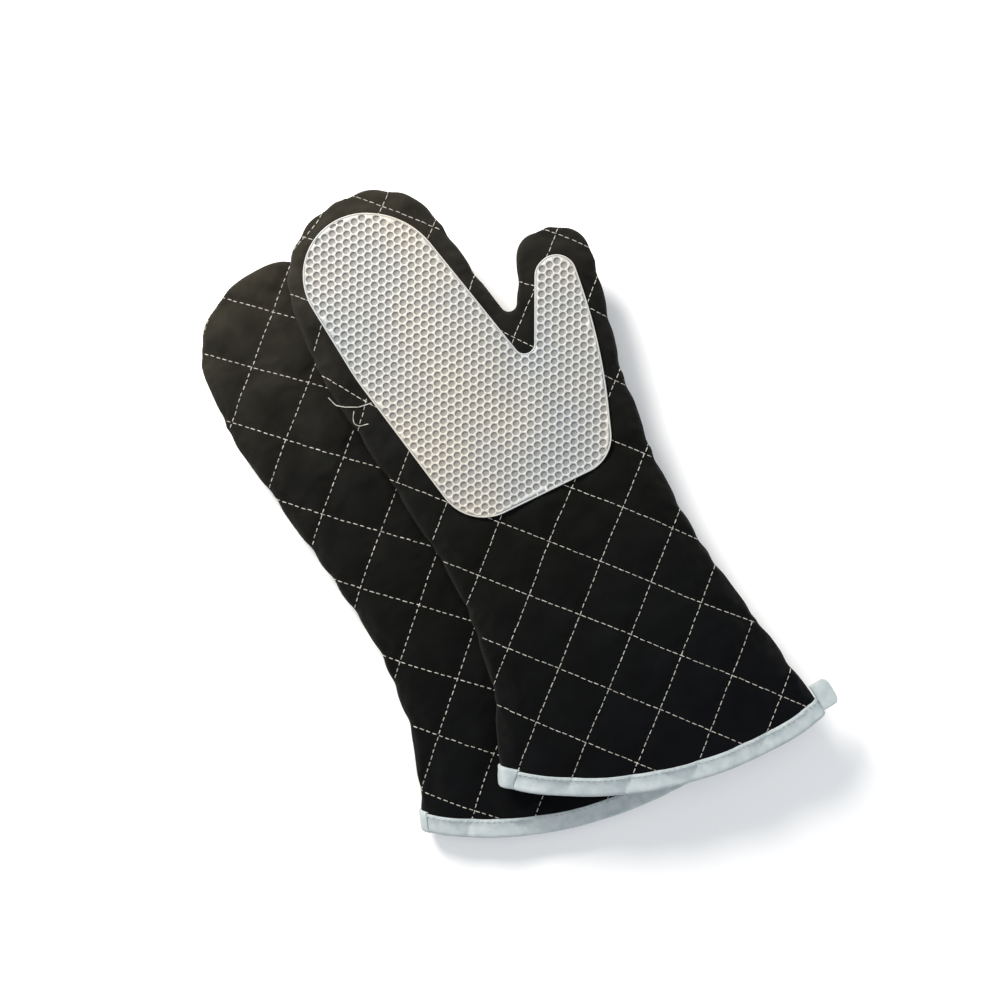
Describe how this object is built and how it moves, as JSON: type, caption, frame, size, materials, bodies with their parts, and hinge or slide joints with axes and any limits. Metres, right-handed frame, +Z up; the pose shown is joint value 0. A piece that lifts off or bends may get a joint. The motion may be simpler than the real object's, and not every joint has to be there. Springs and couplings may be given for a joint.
{
  "type": "pair of heat resistant oven mitts",
  "caption": "Pair of long quilted oven mitts with textured silicone grip pads, bound cuffs and hanging loops, one lying on the other.",
  "frame": {"origin": "on the underside of the lower mitt, at the middle of its wrist", "axes": "+Z up from the surface the mitts lie on, +Y along the lower mitt towards its fingertips, +X towards its thumb"},
  "size_m": [0.2902, 0.4381, 0.0505],
  "materials": {
    "black_quilted_cotton": "matt woven",
    "wadding": "fibrous",
    "lining": "brushed",
    "silicone": "satin moulded",
    "binding_tape": "woven tape"
  },
  "bodies": {
    "lower_hand": {"lower_palm_cloth_hand": "black_quilted_cotton", "lower_back_cloth_hand": "black_quilted_cotton", "lower_palm_wadding_hand": "wadding", "lower_back_wadding_hand": "wadding", "lower_palm_lining_hand": "lining", "lower_back_lining_hand": "lining", "lower_grip_pad_hand": "silicone", "lower_cuff_binding": "binding_tape"},
    "lower_fingers": {"lower_palm_cloth_fingers": "black_quilted_cotton", "lower_back_cloth_fingers": "black_quilted_cotton", "lower_palm_wadding_fingers": "wadding", "lower_back_wadding_fingers": "wadding", "lower_palm_lining_fingers": "lining", "lower_back_lining_fingers": "lining", "lower_grip_pad_fingers": "silicone"},
    "lower_thumb": {"lower_palm_cloth_thumb": "black_quilted_cotton", "lower_back_cloth_thumb": "black_quilted_cotton", "lower_palm_wadding_thumb": "wadding", "lower_back_wadding_thumb": "wadding", "lower_palm_lining_thumb": "lining", "lower_back_lining_thumb": "lining", "lower_grip_pad_thumb": "silicone"},
    "lower_loop": {"lower_hanging_loop": "binding_tape"},
    "upper_hand": {"upper_palm_cloth_hand": "black_quilted_cotton", "upper_back_cloth_hand": "black_quilted_cotton", "upper_palm_wadding_hand": "wadding", "upper_back_wadding_hand": "wadding", "upper_palm_lining_hand": "lining", "upper_back_lining_hand": "lining", "upper_grip_pad_hand": "silicone", "upper_cuff_binding": "binding_tape"},
    "upper_fingers": {"upper_palm_cloth_fingers": "black_quilted_cotton", "upper_back_cloth_fingers": "black_quilted_cotton", "upper_palm_wadding_fingers": "wadding", "upper_back_wadding_fingers": "wadding", "upper_palm_lining_fingers": "lining", "upper_back_lining_fingers": "lining", "upper_grip_pad_fingers": "silicone"},
    "upper_thumb": {"upper_palm_cloth_thumb": "black_quilted_cotton", "upper_back_cloth_thumb": "black_quilted_cotton", "upper_palm_wadding_thumb": "wadding", "upper_back_wadding_thumb": "wadding", "upper_palm_lining_thumb": "lining", "upper_back_lining_thumb": "lining", "upper_grip_pad_thumb": "silicone"},
    "upper_loop": {"upper_hanging_loop": "binding_tape"}
  },
  "joints": [
    {"name": "lower_finger_flex", "type": "hinge", "parent": "lower_hand", "child": "lower_fingers", "pos_m": [0, 0.165, 0], "axis": [-1, 0, 0], "range_deg": [0, 60], "stiffness_Nm_per_rad": 1},
    {"name": "lower_thumb_flex", "type": "hinge", "parent": "lower_hand", "child": "lower_thumb", "pos_m": [0.0435, 0.1365, 0], "axis": [-0.5679, 0.8231, 0], "range_deg": [0, 45], "stiffness_Nm_per_rad": 0.6},
    {"name": "lower_loop_swing", "type": "hinge", "parent": "lower_hand", "child": "lower_loop", "pos_m": [0.0829, -0.167, 0.0125], "axis": [0, 1, 0], "range_deg": [-60, 60], "stiffness_Nm_per_rad": 0.002},
    {"name": "upper_lift_off", "type": "slide", "parent": "lower_hand", "child": "upper_hand", "axis": [0, 0, 1], "range_m": [0, 0.12]},
    {"name": "upper_finger_flex", "type": "hinge", "parent": "upper_hand", "child": "upper_fingers", "pos_m": [0.06802, 0.16087, 0.0505], "axis": [0.9992, -0.0401, 0], "range_deg": [0, 60], "stiffness_Nm_per_rad": 1},
    {"name": "upper_thumb_flex", "type": "hinge", "parent": "upper_hand", "child": "upper_thumb", "pos_m": [0.11034, 0.13064, 0.0505], "axis": [0.5344, -0.8452, 0], "range_deg": [0, 45], "stiffness_Nm_per_rad": 0.6},
    {"name": "upper_loop_swing", "type": "hinge", "parent": "upper_hand", "child": "upper_loop", "pos_m": [0.13753, -0.17419, 0.038], "axis": [0.0401, 0.9992, 0], "range_deg": [-60, 60], "stiffness_Nm_per_rad": 0.002}
  ]
}
